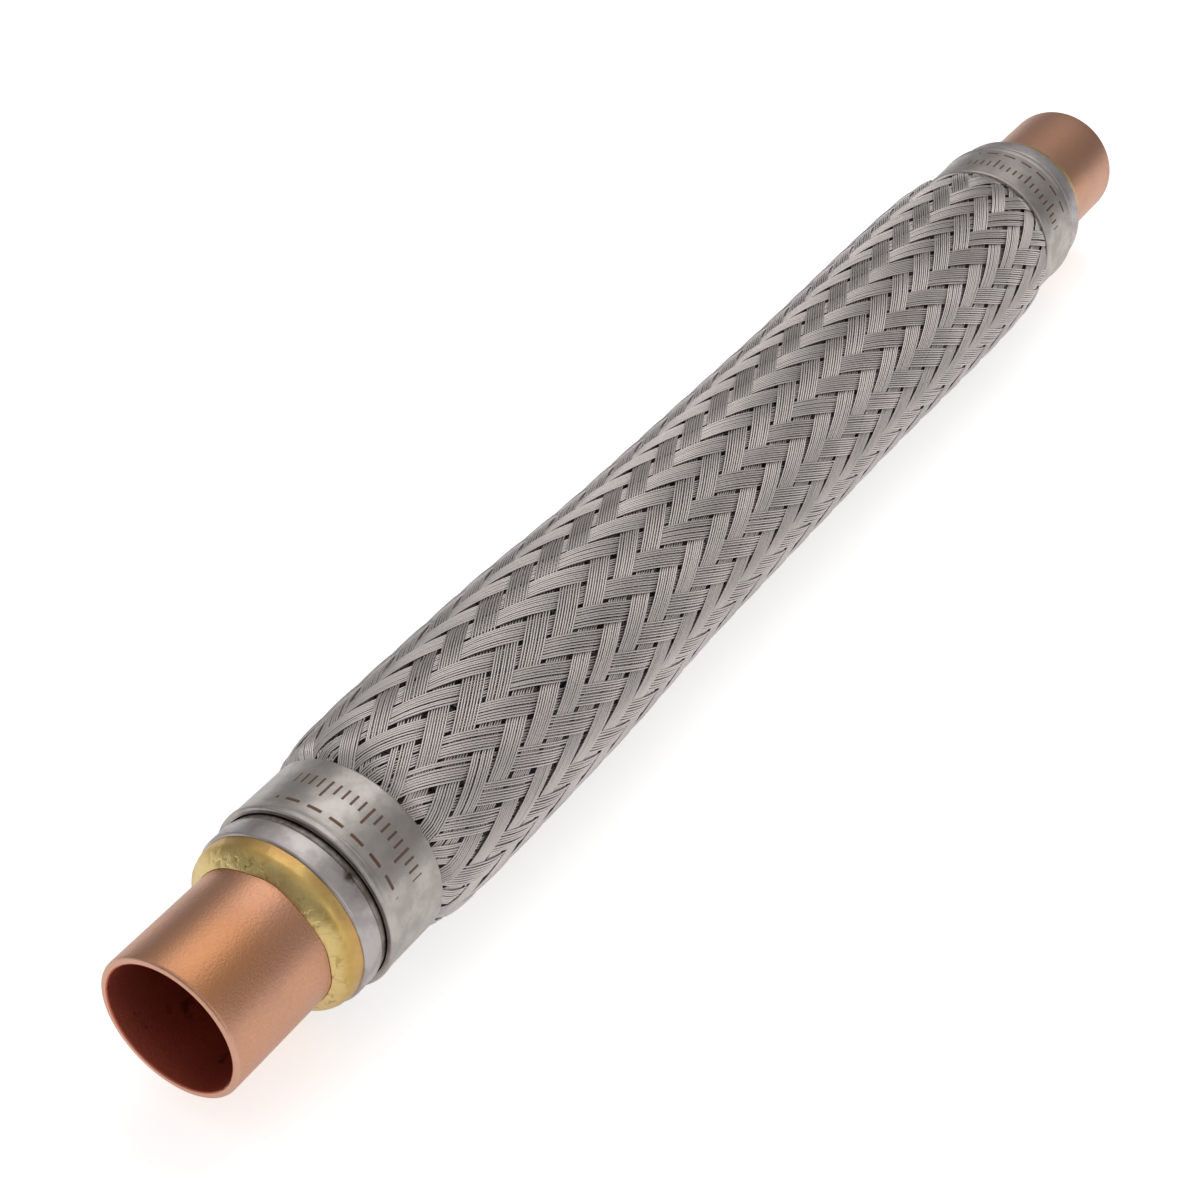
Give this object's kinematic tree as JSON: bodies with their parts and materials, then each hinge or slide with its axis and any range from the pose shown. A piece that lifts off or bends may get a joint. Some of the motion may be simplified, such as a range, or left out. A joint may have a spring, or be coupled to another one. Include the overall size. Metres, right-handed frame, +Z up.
{
  "type": "vibration eliminator",
  "caption": "Flexible refrigerant line section: corrugated metal hose in a woven wire braid, with a ferrule, a steel collar and a copper solder socket at each end.",
  "frame": {"origin": "on the surface the part lies on, under the middle of the hose", "axes": "+X along the hose towards the far socket, +Z up"},
  "size_m": [0.265, 0.0314, 0.0314],
  "materials": {
    "copper": "satin copper tube, slightly oxidised",
    "braze": "smooth gold-coloured braze metal",
    "collar_steel": "turned steel with a faint heat tint",
    "weld": "dark heat-tinted weld",
    "ferrule_steel": "satin stainless steel",
    "braid_wire": "bright drawn stainless wire",
    "hose_steel": "plain rolled stainless sheet"
  },
  "bodies": {
    "root": {"copper_stub_near": "copper", "copper_stub_far": "copper", "braze_fillet_near": "braze", "braze_fillet_far": "braze", "end_collar_near": "collar_steel", "end_collar_far": "collar_steel", "seam_weld_near": "weld", "seam_weld_far": "weld", "ferrule_near": "ferrule_steel", "ferrule_far": "ferrule_steel", "braided_sleeve": "braid_wire", "corrugated_hose": "hose_steel"}
  },
  "joints": []
}
